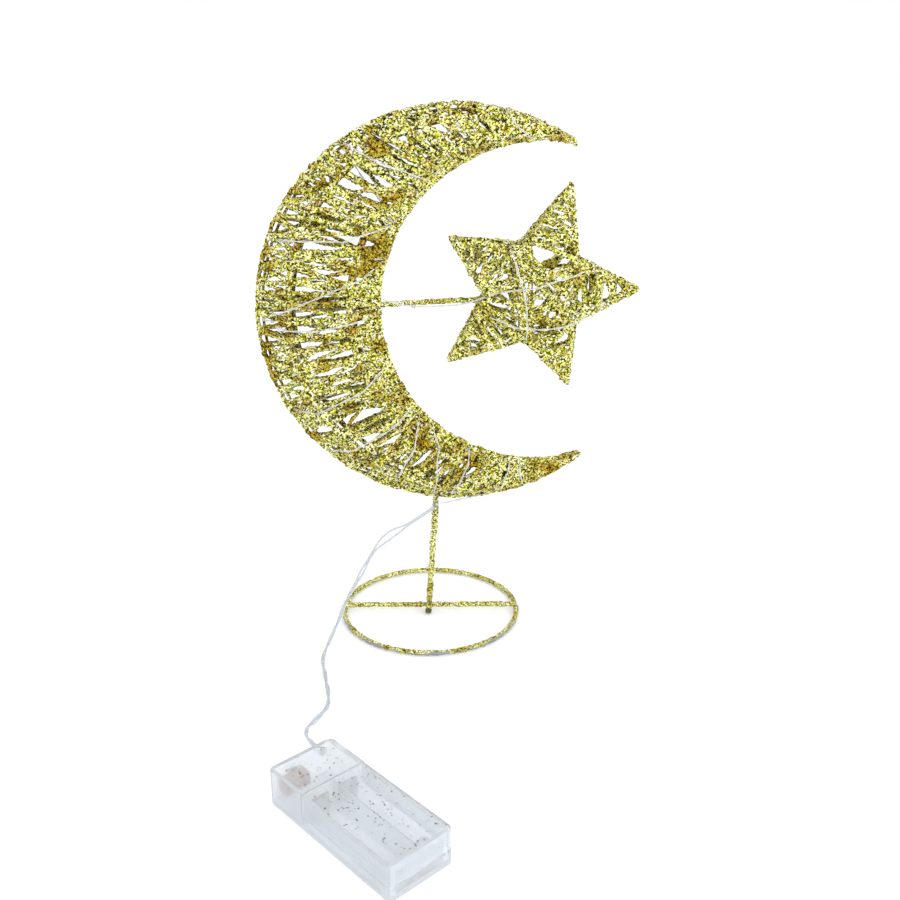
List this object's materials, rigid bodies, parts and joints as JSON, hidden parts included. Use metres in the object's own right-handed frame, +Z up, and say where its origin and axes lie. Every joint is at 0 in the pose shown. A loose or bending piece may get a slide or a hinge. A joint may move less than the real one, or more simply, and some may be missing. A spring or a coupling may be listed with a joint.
{
  "type": "crescent ornament",
  "caption": "Yarn-wound wire crescent with a star on an arm, standing on a wire ring base, with a string of lights and a lead to a clear battery box.",
  "frame": {"origin": "middle of the base ring, on the table", "axes": "+Z up, +X to the viewer's right along the cross bar, +Y away from the viewer; the crescent stands in the XZ plane"},
  "size_m": [0.2109, 0.2909, 0.2967],
  "materials": {
    "gold_wire": "gold glitter paint, worn to grey steel in patches",
    "frame_wire": "gold-toned thin wire",
    "gold_yarn": "metallic glitter yarn",
    "light_wire": "thin silvery light-string wire",
    "clear_resin": "clear cast drops",
    "clear_lead": "clear twin lead",
    "clear_plastic": "clear moulded plastic",
    "contact_metal": "plated spring steel",
    "switch_plastic": "dark moulded plastic"
  },
  "bodies": {
    "ornament": {"base_ring": "gold_wire", "base_crossbar": "gold_wire", "stem": "gold_wire", "star_arm": "gold_wire", "rim_outer_wire": "frame_wire", "front_outer_wire": "frame_wire", "front_inner_wire": "frame_wire", "rim_inner_wire": "frame_wire", "back_inner_wire": "frame_wire", "back_outer_wire": "frame_wire", "cross_ties": "frame_wire", "radial_ties": "frame_wire", "star_front_wire": "frame_wire", "star_back_wire": "frame_wire", "star_spacers": "frame_wire", "yarn_lower_horn": "gold_yarn", "yarn_lower_limb_1": "gold_yarn", "yarn_lower_limb_2": "gold_yarn", "yarn_lower_limb_3": "gold_yarn", "yarn_upper_limb_1": "gold_yarn", "yarn_upper_limb_2": "gold_yarn", "yarn_upper_limb_3": "gold_yarn", "yarn_upper_limb_4": "gold_yarn", "lower_horn_wrap": "gold_yarn", "upper_horn_wrap": "gold_yarn", "star_yarn_1": "gold_yarn", "star_yarn_2": "gold_yarn", "star_yarn_3": "gold_yarn", "star_yarn_4": "gold_yarn", "star_yarn_5": "gold_yarn", "star_yarn_middle": "gold_yarn", "light_wire_upper": "light_wire", "light_wire_horn": "light_wire", "light_wire_star": "light_wire", "light_drops": "clear_resin", "lead_splice": "clear_resin", "lead_cord": "clear_lead", "lead_grommet": "clear_lead", "battery_case": "clear_plastic", "switch_floor": "clear_plastic", "bridge_plate": "contact_metal", "end_plate_left": "contact_metal", "end_plate_right": "contact_metal", "cell_spring_front": "contact_metal", "cell_spring_rear": "contact_metal", "switch_body": "switch_plastic"},
    "cover": {"battery_cover": "clear_plastic"},
    "lever": {"switch_lever": "switch_plastic"}
  },
  "joints": [
    {"name": "cover_slide", "type": "slide", "parent": "ornament", "child": "cover", "axis": [0.6691, -0.7431, 0], "range_m": [0, 0.058]},
    {"name": "lever_slide", "type": "slide", "parent": "ornament", "child": "lever", "axis": [-0.7431, -0.6691, 0], "range_m": [0, 0.004]}
  ]
}
